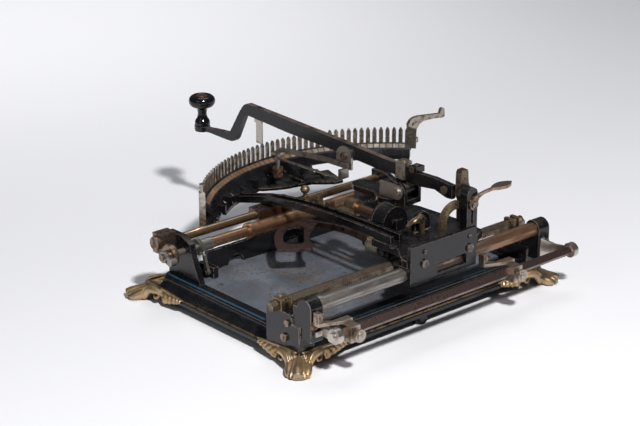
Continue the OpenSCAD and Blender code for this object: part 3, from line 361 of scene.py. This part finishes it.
FINISH = {
    "black_japan": stove_black("stove_black", wear=0.8, gloss=0.16),
    "gilt": old_gilt("old_gilt"),
    "bed_steel": bed_steel("bed_steel"),
    "worn_steel": worn_rail("worn_rail"),
    "copper": metal("copper_heads", COPPER, COPPER_DULL, seed=3, tarnish=0.45, size=4),
    "brass": metal("old_brass", BRASS, BRASS_DULL,
                   seed=5, tarnish=0.55, size=7, polish=0.34, edge_shine=0.5, spots=0.8),
    "nickel": metal("worn_nickel", NICKEL, NICKEL_DULL, seed=7, tarnish=0.42, size=9, polish=0.24),
    "brown_steel": metal("brown_steel", BROWN, BROWN_DULL,
                         seed=9, size=11, polish=0.36, edge_shine=0.9),
    "type_rubber": black_rubber("type_rubber"),
}
OWN_FINISH = {
    "base_frame": painted_frame("painted_frame"),
    "index_casting": stove_black("casting_black", dust=0.45, wear=0.9, gloss=0.15),
    "index_strip": stove_black("strip_bed", dust=0.4, wear=0.6, gloss=0.3),
    "carriage_deck": stove_black("deck_black", wear=1.0, gloss=0.15),
    "rail_posts": stove_black("post_black", dust=0.45, wear=0.9, gloss=0.16),
    "rod_brackets": stove_black("bracket_black", dust=0.45, wear=0.9, gloss=0.18),
    # the arm's upper faces lighter: rubbed iron with a painted sheen
    "arm_bar": stove_black("arm_black", dust=0.40, wear=1.0, gloss=0.20, top_wear_and_sheen=0.75),
    "knob": stove_black("knob_black", dust=0.10, wear=0.3, gloss=0.10),
    "knob_inlay": metal("knob_inlay", COPPER, COPPER_DULL, seed=21, tarnish=0.4, size=5),
    "feed_roller": metal("roller_copper", (0.50, 0.300, 0.180), (0.250, 0.130, 0.075),
                         seed=25, size=16, polish=0.30, edge_shine=0.5, spots=0.25),
    "guide_rod": metal("guide_brass", (0.46, 0.340, 0.215), (0.215, 0.140, 0.085),
                       seed=23, tarnish=0.45, size=12, polish=0.26),
    "rod_end_block": metal("block_bronze", BRONZE, BRONZE_DULL,
                           seed=27, tarnish=0.6, size=6, polish=0.34),
    "thumb_wheel": metal("wheel_bronze", BRONZE, BRONZE_DULL, seed=29, size=6, polish=0.30),
    "rack_bar": metal("rack_bronze", (0.250, 0.205, 0.155), (0.095, 0.072, 0.055),
                      seed=31, tarnish=0.6, size=9, polish=0.36, edge_shine=1.0),
    "ink_lever": metal("lever_steel", (0.44, 0.400, 0.355), (0.215, 0.170, 0.135),
                       seed=33, tarnish=0.45, size=9, polish=0.30),
    "shift_horn": metal("horn_steel", (0.42, 0.370, 0.315), (0.200, 0.155, 0.120),
                        seed=35, polish=0.30),
    "comb": metal("comb_steel", (0.47, 0.425, 0.365), (0.205, 0.165, 0.125),
                  seed=37, tarnish=0.55, size=6, polish=0.24, edge_shine=0.9, spots=0.7),
    "spoon_lever": metal("spoon_bronze", (0.36, 0.260, 0.190), (0.190, 0.120, 0.082),
                         seed=39, polish=0.32),
    "space_plunger": metal("plunger_bronze", (0.230, 0.170, 0.130), (0.085, 0.058, 0.046),
                           seed=41, tarnish=0.55, size=7, polish=0.36, edge_shine=1.0),
    "hook_arm": metal("hook_bronze", (0.36, 0.275, 0.175), (0.190, 0.135, 0.085),
                      seed=51, tarnish=0.6, size=6, polish=0.42, edge_shine=0.4, spots=0.8),
    "link_plate": metal("link_nickel", (0.66, 0.620, 0.570), (0.420, 0.370, 0.320),
                        seed=55, tarnish=0.3, polish=0.30, spots=0.3),
    "loop_ferrule": metal("ferrule_nickel", (0.66, 0.590, 0.480), (0.400, 0.320, 0.230),
                          seed=57, tarnish=0.45, size=5, polish=0.30),
    "rack_pawl": metal("pawl_bronze", (0.40, 0.315, 0.215), (0.200, 0.145, 0.095),
                       seed=59, tarnish=0.6, size=5, polish=0.42, edge_shine=0.4, spots=0.8),
    "carriage_screws": metal("dark_heads", (0.190, 0.165, 0.145), (0.070, 0.058, 0.050),
                             seed=61, size=4, polish=0.30, edge_shine=1.0),
    "clamp_block": metal("clamp_nickel", (0.44, 0.385, 0.330), (0.170, 0.130, 0.100),
                         seed=53, tarnish=0.6, size=5, polish=0.30, edge_shine=0.8, spots=1.0),
    "margin_arms": metal("arm_nickel", (0.53, 0.490, 0.440), (0.290, 0.235, 0.185),
                         seed=43, tarnish=0.45, size=12),
}
for node in ("margin_stop_right", "margin_stop_left"):
    OWN_FINISH[node] = metal(node + "_bronze", (0.40, 0.335, 0.275), (0.175, 0.130, 0.100),
                             seed=45, polish=0.32)
for node in ("stop_screw_right", "stop_screw_left"):
    OWN_FINISH[node] = metal(node + "_nickel", (0.44, 0.385, 0.330), (0.240, 0.190, 0.150),
                             seed=49, size=4, polish=0.32)
for node in ("frame_screws", "arm_screws"):
    OWN_FINISH[node] = metal(node + "_bronze", BRONZE, BRONZE_DULL,
                             seed=47, size=5, polish=0.32, edge_shine=1.0)


# ---------------------------------------------------------------- dressing the CAD pieces

SLOT = {part["node"]: part["material_slot"] for part in frame["record"]["subparts"]}
BODY = {node: body for body, nodes in frame["record"]["behaviour"]["bodies"].items()
        for node in nodes}
SAME_POINT = 2e-6        # metres, between corners that are one
FLAT = radians(0.4)      # faces that meet at less than this are one
SHARP = radians(26)      # edges over this get eased
CREASED = radians(38)    # and over this they stay creased in the shading


def middle(node):
    """The middle of a CAD node's box."""
    low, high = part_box(node)
    return (low + high) / 2


def in_scene(name, data):
    """A new object of that data in the scene."""
    made = bpy.data.objects.new(name, data)
    bpy.context.scene.collection.objects.link(made)
    return made


def mesh_of(name, form):
    """The form as a mesh; the form itself goes."""
    data = bpy.data.meshes.new(name)
    form.to_mesh(data)
    form.free()
    return data


def evaluated(holder):
    """The mesh that the holder's modifiers make; the holder itself goes."""
    mesh = bpy.data.meshes.new_from_object(
        holder.evaluated_get(bpy.context.evaluated_depsgraph_get()))
    bpy.data.objects.remove(holder)
    return mesh


def islands(form):
    """The connected shells of a mesh, each as its edges, in the same order at every run."""
    left, found = dict.fromkeys(form.verts), []
    while left:
        front, edges = [left.popitem()[0]], {}
        while front:
            for e in front.pop().link_edges:
                if e not in edges:
                    edges[e] = True
                    for v in e.verts:
                        if v in left:
                            del left[v]
                            front.append(v)
        found.append(list(edges))
    return found


def is_sharp(e):
    """Whether the edge is one to ease."""
    return len(e.link_faces) == 2 and e.calc_face_angle(0) > SHARP


def ease(form, edges, width, segments=2):
    """Eases those edges by width in mm, and marks the new faces as places where wear shows."""
    made = bmesh.ops.bevel(form, geom=edges, offset=width * MM, offset_type="OFFSET",
                           segments=segments, profile=0.6, affect="EDGES", clamp_overlap=True)
    mark = form.faces.layers.float["edge"]
    for face in made["faces"]:
        face[mark] = 1.0


def smooth(form):
    """Shades the form smooth all over."""
    for face in form.faces:
        face.smooth = True


def shade(form):
    """Shades the form smooth but for its creases."""
    smooth(form)
    for e in form.edges:
        e.smooth = not is_sharp(e) or e.calc_face_angle(0) < CREASED


def finished(name, form, body, material):
    """The form as a finished piece of that body."""
    piece = in_scene(name, mesh_of(name, form))
    piece.data.materials.append(material)
    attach(piece, body)
    return piece


def dress(node, width):
    """The CAD node with its edges eased by width in mm and its finish on."""
    form = bmesh.new()
    form.from_mesh(frame["nodes"][node].data)
    bmesh.ops.remove_doubles(form, verts=form.verts, dist=SAME_POINT)
    bmesh.ops.dissolve_limit(form, angle_limit=FLAT, verts=form.verts, edges=form.edges)
    form.faces.layers.float.new("edge")
    for shell in islands(form):
        sharp = [e for e in shell if is_sharp(e)]
        if sharp:
            ease(form, sharp, width)
    shade(form)
    slot = SLOT[node]
    piece = finished(node + "_piece", form, BODY[node], OWN_FINISH.get(node, FINISH[slot]))
    even = piece.modifiers.new("even shading", "WEIGHTED_NORMAL")
    even.keep_sharp = True
    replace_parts(piece, node)


USUAL_EASE = 0.35
EASED = {"base_frame": 0.5, "bed_plate": 0.3, "margin_bar": 0.5, "comb": 0.22,
         "index_strip": 0.15, "rack_bar": 0.15, "feed_ratchet": 0.2, "index_casting": 0.6,
         "rail_posts": 0.7, "carriage_deck": 0.6, "arm_bar": 0.8, "cross_wall": 0.6,
         "guide_loop": 0.5}
SCULPTED = {"corner_feet", "knob"}
for node in sorted(frame["nodes"]):
    if node not in SCULPTED:
        dress(node, EASED.get(node, USUAL_EASE))


# ---------------------------------------------------------------- gilded feet

def tube(form, points, radii, sides):
    """A round bar along points, closed at both ends."""
    rings = []
    for n, (point, radius) in enumerate(zip(points, radii)):
        ahead = (points[min(n + 1, len(points) - 1)] - points[max(n - 1, 0)]).normalized()
        across = Vector((0, 0, 1)) if abs(ahead.z) < 0.9 else Vector((1, 0, 0))
        side = ahead.cross(across).normalized()
        up = side.cross(ahead)
        rings.append([form.verts.new(point + (side * cos(a) + up * sin(a)) * radius)
                      for a in (2 * pi * s / sides for s in range(sides))])
    for lower, upper in zip(rings, rings[1:]):
        for s in range(sides):
            t = (s + 1) % sides
            form.faces.new((lower[s], lower[t], upper[t], upper[s]))
    form.faces.new(rings[0][::-1])
    form.faces.new(rings[-1])


def curve(values, share):
    """A smooth curve through evenly spaced values, at share from 0 to 1."""
    place = min(max(share, 0.0), 1.0) * (len(values) - 1)
    k = min(int(place), len(values) - 2)
    t = place - k
    p = [values[max(k - 1, 0)], values[k], values[k + 1], values[min(k + 2, len(values) - 1)]]
    return p[1] + 0.5 * t * (p[2] - p[0] + t * (2 * p[0] - 5 * p[1] + 4 * p[2] - p[3]
                                                + t * (3 * (p[1] - p[2]) + p[3] - p[0])))


def sweep(form, stations, sides=14, steps=22):
    """A round form of changing thickness through stations, each a point and a radius in mm."""
    shares = [n / steps for n in range(steps + 1)]
    points = [Vector([curve([p[k] for p, r in stations], share) for k in range(3)])
              for share in shares]
    radii = [curve([r for p, r in stations], share) * MM for share in shares]
    tube(form, points, radii, sides)


# where the frame's corner is cut by its diagonal, in mm from the frame's middle
FOOT_X = HALF_X / MM - CORNER * (1 - sqrt(0.5))
FOOT_Y = HALF_Y / MM - CORNER * (1 - sqrt(0.5))
# the lobes of the leaf: how far from the corner, how high and how large, in mm
LOBES = ((34.5, 9.6, 3.9), (42, 10.6, 3.3), (48.6, 11.5, 2.7), (54.2, 12.4, 2.1),
         (58.8, 13.2, 1.5))


def foot_form():
    """The rough form of the foot at the near corner: toe, lobes, ridges and leaf, not yet one."""
    form = bmesh.new()

    def put(x, y, z):
        """The point x and y mm from the frame's middle and z mm up."""
        return Vector((MID.x + x * MM, MID.y + y * MM, z * MM))

    def toe(a, b, z):
        """The point a mm out along the corner's diagonal, b mm across it and z mm up."""
        return put(FOOT_X + (a + b) * sqrt(0.5), FOOT_Y + (a - b) * sqrt(0.5), z)

    def along_x(s, n, z):
        """The point s mm back from the corner, n mm out from the frame's face and z mm up."""
        return put(HALF_X / MM - s, HALF_Y / MM + n, z)

    def along_y(s, n, z):
        """The same on the frame's other face."""
        return put(HALF_X / MM + n, HALF_Y / MM - s, z)

    def blob(centre, size):
        """An egg with those three radii in mm."""
        made = bmesh.ops.create_icosphere(form, subdivisions=3, radius=1.0)
        for v in made["verts"]:
            v.co = centre + Vector([c * s * MM for c, s in zip(v.co, size)])

    sweep(form, [(toe(-9, 0, 15), 4.5), (toe(-2, 0, 15.5), 3.8), (toe(6, 0, 13.6), 3.6),
                 (toe(15, 0, 10), 4.4), (toe(23, 0, 6.6), 5.6), (toe(30.5, 0, 4.5), 4.5)])
    sweep(form, [(toe(-3, 0, 18.6), 1.1), (toe(4, 0, 18.0), 1.7), (toe(10, 0, 14.4), 0.8)],
          10, 10)
    blob(toe(19, 0, 2.2), (12, 12, 2.2))
    for hand in (-1, 1):
        sweep(form, [(toe(1, hand * 3.4, 16.2), 1.0), (toe(10, hand * 4.4, 13.0), 1.5),
                     (toe(19, hand * 5.4, 9.4), 1.5), (toe(26, hand * 6.6, 6.4), 1.4),
                     (toe(30, hand * 7.0, 3.0), 1.0)], 10, 16)
        sweep(form, [(toe(5, hand * 8.2, 11.4), 3.6), (toe(13, hand * 9.0, 8.0), 4.1),
                     (toe(20, hand * 9.2, 4.8), 4.3), (toe(25.4, hand * 8.6, 3.0), 2.9)])

    for side in (along_x, along_y):
        sweep(form, [(side(31.5, 0.6, 10.4), 1.6), (side(27.5, 2.0, 13.4), 2.7),
                     (side(21, 3.4, 15.2), 3.9), (side(13.5, 4.6, 14.6), 4.6),
                     (side(8.4, 5.6, 10.8), 4.5), (side(6.4, 6.6, 6.2), 3.8),
                     (side(4.4, 7.8, 3.4), 3.0)], 16, 30)
        sweep(form, [(side(30, 1.6, 15.6), 0.7), (side(22, 4.6, 18.2), 1.1),
                     (side(13, 6.6, 18.4), 1.2), (side(7, 8.6, 14.4), 1.1),
                     (side(4.6, 10, 9.4), 0.9)], 10, 22)
        sweep(form, [(side(26.4, 2.2, 11.4), 1.2), (side(24.2, 4.0, 8.2), 2.0),
                     (side(20.6, 4.4, 7.8), 1.9), (side(19.2, 3.8, 10.4), 1.2)], 10, 16)
        for s, z, r in LOBES:
            sweep(form, [(side(s - r * 1.1, 1.2, z + r * 1.2), r * 0.42),
                         (side(s + r * 0.3, 1.9, z + r * 0.7), r * 0.72),
                         (side(s + r * 0.5, 2.2, z - r * 0.5), r * 0.80),
                         (side(s - r * 0.9, 1.8, z - r * 0.9), r * 0.50)], 12, 14)
            blob(side(s - r * 0.7, 1.6, z - 0.1), (r * 0.62, r * 0.62, r * 0.55))
        sweep(form, [(side(3, 1.0, 19.2), 1.5), (side(30, 0.6, 18.2), 1.45),
                     (side(63, 0.2, 15.6), 0.8)], 10, 24)
        sweep(form, [(side(4, -0.4, 14), 4.2), (side(26, -0.6, 13.6), 3.2),
                     (side(44, -0.4, 14), 2.4), (side(61, -0.3, 14.8), 1.2)], 12, 20)
    return form


def gilded_feet():
    """The four feet, each fused into one casting from its toe, lobes and leaf."""
    rough = foot_form()
    bmesh.ops.recalc_face_normals(rough, faces=rough.faces)
    holder = in_scene("rough_foot", mesh_of("rough_foot", rough))
    fuse = holder.modifiers.new("fuse", "REMESH")
    fuse.mode = "VOXEL"
    fuse.voxel_size = 0.55 * MM
    cast = evaluated(holder)
    one = bmesh.new()
    one.from_mesh(cast)
    for _ in range(2):
        bmesh.ops.smooth_vert(one, verts=one.verts, factor=0.5,
                              use_axis_x=True, use_axis_y=True, use_axis_z=True)
    for v in one.verts:
        v.co.z = max(v.co.z, 0.0)
    one.to_mesh(cast)
    one.free()
    form = bmesh.new()
    for mx in (1, -1):
        for my in (1, -1):
            first = len(form.verts)
            form.from_mesh(cast)
            form.verts.ensure_lookup_table()
            for v in form.verts[first:]:
                v.co.x = MID.x + mx * (v.co.x - MID.x)
                v.co.y = MID.y + my * (v.co.y - MID.y)
    bmesh.ops.recalc_face_normals(form, faces=form.faces)
    smooth(form)
    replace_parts(finished("gilded_feet", form, "base", FINISH["gilt"]), "corner_feet")


gilded_feet()


# ---------------------------------------------------------------- turned knob and casting

def turned(form, centre, outline, sides=64):
    """A turned form about the upright through centre, outline as radius and height in mm."""
    rings = []
    for r, z in outline:
        rings.append([form.verts.new((centre.x + r * MM * cos(2 * pi * s / sides),
                                      centre.y + r * MM * sin(2 * pi * s / sides), z * MM))
                      for s in range(sides if r else 1)])
    for lower, upper in zip(rings, rings[1:]):
        for s in range(sides):
            t = (s + 1) % sides
            form.faces.new(dict.fromkeys((lower[s % len(lower)], lower[t % len(lower)],
                                          upper[t % len(upper)], upper[s % len(upper)])))


def rounded(outline, steps=6):
    """The outline as a smooth curve through its points."""
    radii, heights = [r for r, z in outline], [z for r, z in outline]
    count = steps * (len(outline) - 1)
    return [(max(curve(radii, n / count), 0.0), curve(heights, n / count))
            for n in range(count + 1)]


def turned_knob():
    """The knob, with a hollow in its top for the inlay."""
    form = bmesh.new()
    form.faces.layers.float.new("edge")
    side = rounded([(6.2, 103.65), (8.5, 105.0), (8.9, 107.6), (8.3, 110.2), (6.7, 112.8),
                    (5.6, 115.8), (5.2, 119), (5.6, 122), (7.0, 124.8), (10.2, 126.6),
                    (13.2, 128.4), (15.0, 131.2), (15.4, 134.0), (14.8, 136.8), (13.0, 139.2),
                    (10.6, 140.4), (8.6, 140.0), (7.3, 138.9)])
    turned(form, middle("knob"), [(0, 103.65)] + side + [(6.9, 138.6), (0, 138.6)])
    bmesh.ops.recalc_face_normals(form, faces=form.faces)
    smooth(form)
    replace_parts(finished("turned_knob", form, "arm", OWN_FINISH["knob"]), "knob")


def slab(form, outline, low, high):
    """A flat plate of that outline, a list of points in metres, between two heights in mm."""
    lower, upper = [[form.verts.new((x, y, z * MM)) for x, y in outline] for z in (low, high)]
    form.faces.new(lower[::-1])
    form.faces.new(upper)
    for s in range(len(outline)):
        t = (s + 1) % len(outline)
        form.faces.new((lower[s], lower[t], upper[t], upper[s]))


def casting_web():
    """The web that runs in from the index casting under the arm, with its two stiff ribs."""
    def at(turn, r):
        """The point at that turn in degrees and r mm from the pivot."""
        return (PIVOT[0] + r * MM * sin(radians(turn)), PIVOT[1] - r * MM * cos(radians(turn)))

    form = bmesh.new()
    outer = [at(turn, 187) for turn in range(-20, 13, 2)]
    inner = [at(turn, r) for turn, r in ((11, 180), (7, 170), (3, 164), (-2, 161), (-8, 158),
                                        (-13, 150), (-17, 146), (-21, 148))]
    slab(form, outer + inner, 58.2, 61.6)
    for turn in (-15, -4):
        slab(form, [at(turn - 0.5, 186), at(turn + 0.5, 186), at(turn + 0.6, 160),
                    at(turn - 0.6, 160)], 61, 65)
    bmesh.ops.recalc_face_normals(form, faces=form.faces)
    form.faces.layers.float.new("edge")
    ease(form, [e for e in form.edges if is_sharp(e)], 0.5)
    shade(form)
    finished("casting_web", form, "carriage", OWN_FINISH["index_casting"])


turned_knob()
casting_web()


# ---------------------------------------------------------------- repeats, by Geometry Nodes

class Tree(Nodes):
    """A Geometry Nodes tree of named inputs."""

    def __init__(self, name, inputs):
        super().__init__(bpy.data.node_groups.new(name, "GeometryNodeTree"))
        self.sockets = {}
        for label, kind in inputs.items():
            self.sockets[label] = self.tree.interface.new_socket(
                name=label, in_out="INPUT", socket_type="NodeSocket" + kind)
        self.tree.interface.new_socket(
            name="Geometry", in_out="OUTPUT", socket_type="NodeSocketGeometry")
        self.source = self.tree.nodes.new("NodeGroupInput")

    def given(self, label):
        """The input of that name."""
        return Flow(self, self.source.outputs[label])

    def close(self, geometry):
        """The tree, with that geometry as its result."""
        self.node("NodeGroupOutput", {}, (geometry,))
        return self


def row_on_arc():
    """Small blocks side by side on an arc about the Z axis, turned with it and tilted."""
    t = Tree("row_on_arc", {
        "Count": "Int", "Radius": "Float", "Start": "Float", "Sweep": "Float", "Tilt": "Float",
        "Size": "Vector", "Finish": "Material"})
    points = t.node("GeometryNodeMeshLine", {"mode": "OFFSET"}, {"Count": t.given("Count")})
    share = t.node("GeometryNodeInputIndex") / (t.given("Count") - 1.0)
    turn = t.given("Start") + share * t.given("Sweep")
    across = turn.maths("SINE") * t.given("Radius")
    ahead = turn.maths("COSINE") * t.given("Radius") * -1.0
    placed = t.node("GeometryNodeSetPosition", {}, {
        "Geometry": points, "Position": t.node("ShaderNodeCombineXYZ", {}, (across, ahead, 0.0))})
    block = t.node("GeometryNodeMeshCube", {}, {"Size": t.given("Size")})
    blocks = t.node("GeometryNodeInstanceOnPoints", {}, {
        "Points": placed, "Instance": block,
        "Rotation": t.node("ShaderNodeCombineXYZ", {}, (t.given("Tilt"), 0.0, turn))})
    real = t.node("GeometryNodeRealizeInstances", {}, (blocks,))
    return t.close(t.node("GeometryNodeSetMaterial", {},
                          {"Geometry": real, "Material": t.given("Finish")}))


ROW = row_on_arc()


def row(name, body, slot, material, centre, turns=(0, 0, 0), eased_by=0.1, **given):
    """One row of blocks as a finished piece of that body.

    The centre and the given sizes are in metres, eased_by in mm and all angles in degrees.
    """
    holder = in_scene(name + "_source", bpy.data.meshes.new(name + "_source"))
    made = holder.modifiers.new("row", "NODES")
    made.node_group = ROW.tree
    for label, value in {**given, "Finish": material}.items():
        if label in ("Start", "Sweep", "Tilt"):
            value = radians(value)
        made[ROW.sockets[label].identifier] = value
    mesh = evaluated(holder)
    upright = Euler([radians(a) for a in turns]).to_matrix().to_4x4()
    mesh.transform(Matrix.Translation(centre) @ upright)
    form = bmesh.new()
    form.from_mesh(mesh)
    form.faces.layers.float.new("edge")
    ease(form, form.edges[:], eased_by, segments=1)
    finished(name, form, body, material)


STRIP_RADIUS = 198.7                     # mm, to the middle of the index strip
STRIP_START, STRIP_SWEEP = -47.5, 94.0   # degrees
STRIP_SLOPE = degrees(atan2(5.3, 8.0))   # the strip falls 5.3 mm over its width of 8 mm
CELL_Z = 82.28                           # mm, the height of the middle of its cells


def repeats():
    """The strip's cells, the casting's ribs and the milled rims of the thumbscrews."""
    row("index_cells", "carriage", "brass", index_cells("index_cells"),
        Vector((*PIVOT, CELL_Z * MM)), eased_by=0.12, Count=44, Radius=STRIP_RADIUS * MM,
        Start=STRIP_START + PITCH / 2, Sweep=STRIP_SWEEP - PITCH, Tilt=-STRIP_SLOPE,
        Size=(6.2 * MM, 5.4 * MM, 0.5 * MM))
    row("casting_ribs", "carriage", SLOT["index_casting"], OWN_FINISH["index_casting"],
        Vector((*PIVOT, 65.2 * MM)), eased_by=0.4, Count=7, Radius=190.6 * MM,
        Start=-10, Sweep=44, Tilt=-28, Size=(2.6 * MM, 4.4 * MM, 10 * MM))
    for name, body in (("stop_screw_right", "screw_right"), ("stop_screw_left", "screw_left")):
        centre = middle(name)
        face = Vector((centre.x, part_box(name)[1].y - 3.4 * MM, centre.z))
        row(name + "_rim", body, "nickel", OWN_FINISH[name], face, turns=(90, 0, 0),
            Count=37, Radius=6.35 * MM, Start=0, Sweep=360, Tilt=0,
            Size=(0.55 * MM, 0.5 * MM, 3.0 * MM))


repeats()


# ---------------------------------------------------------------- studio

def pale_floor():
    """The wide pale floor, which is the background too."""
    form = bmesh.new()
    bmesh.ops.create_grid(form, x_segments=1, y_segments=1, size=9.0)
    floor = in_scene("floor", mesh_of("floor", form))
    floor.data.materials.append(Finish("pale_floor").close((0.81, 0.815, 0.848), 0.75))


def aimed(way):
    """The turn that makes a lamp or a camera look that way."""
    return way.to_track_quat("-Z", "Y").to_euler()


def lamp(name, kind, place, toward=(0, 0, 0.05), **settings):
    """A lamp at that place, turned to the machine or to another point."""
    data = bpy.data.lights.new(name, kind)
    for key, value in settings.items():
        setattr(data, key, value)
    holder = in_scene(name, data)
    holder.location = place
    holder.rotation_euler = aimed(Vector(toward) - Vector(place))


def studio():
    """The floor, a faint sky and four lamps: a small hard key, two soft ones, one on the floor."""
    pale_floor()
    world = bpy.data.worlds.new("studio")
    bpy.context.scene.world = world
    world.use_nodes = True
    air = world.node_tree.nodes["Background"]
    air.inputs["Color"].default_value = (0.88, 0.92, 1.0, 1.0)
    air.inputs["Strength"].default_value = 0.085
    lamp("key", "AREA", (0.68, 1.63, 2.05), energy=79.0, shape="DISK", size=0.22,
         color=(1.0, 0.985, 0.97))
    lamp("overhead", "AREA", (-0.6, -0.5, 2.1), energy=10.0, shape="DISK", size=1.5,
         color=(0.97, 0.98, 1.0))
    lamp("fill", "AREA", (1.9, 0.2, 1.3), energy=3.0, shape="DISK", size=1.1,
         color=(0.95, 0.97, 1.0))
    lamp("backdrop", "SPOT", (-0.30, -1.45, 2.6), toward=(-0.30, -1.45, 0), energy=165.0,
         spot_size=radians(54), spot_blend=1.0, shadow_soft_size=0.3, color=(1.0, 0.99, 0.985))


def camera():
    """The camera of the photograph, as fitted to the frame, the rails and the comb."""
    data = bpy.data.cameras.new("camera")
    data.sensor_fit = "HORIZONTAL"
    data.sensor_width = 36
    data.lens = 110.68
    data.clip_end = 30
    eye = in_scene("camera", data)
    eye.location = (1.34054, 1.49671, 0.82261)
    eye.rotation_euler = aimed(Vector((-0.6190, -0.7003, -0.3555)))
    bpy.context.scene.camera = eye


studio()
camera()
bpy.context.scene.view_settings.view_transform = "Standard"
bpy.context.view_layer.update()
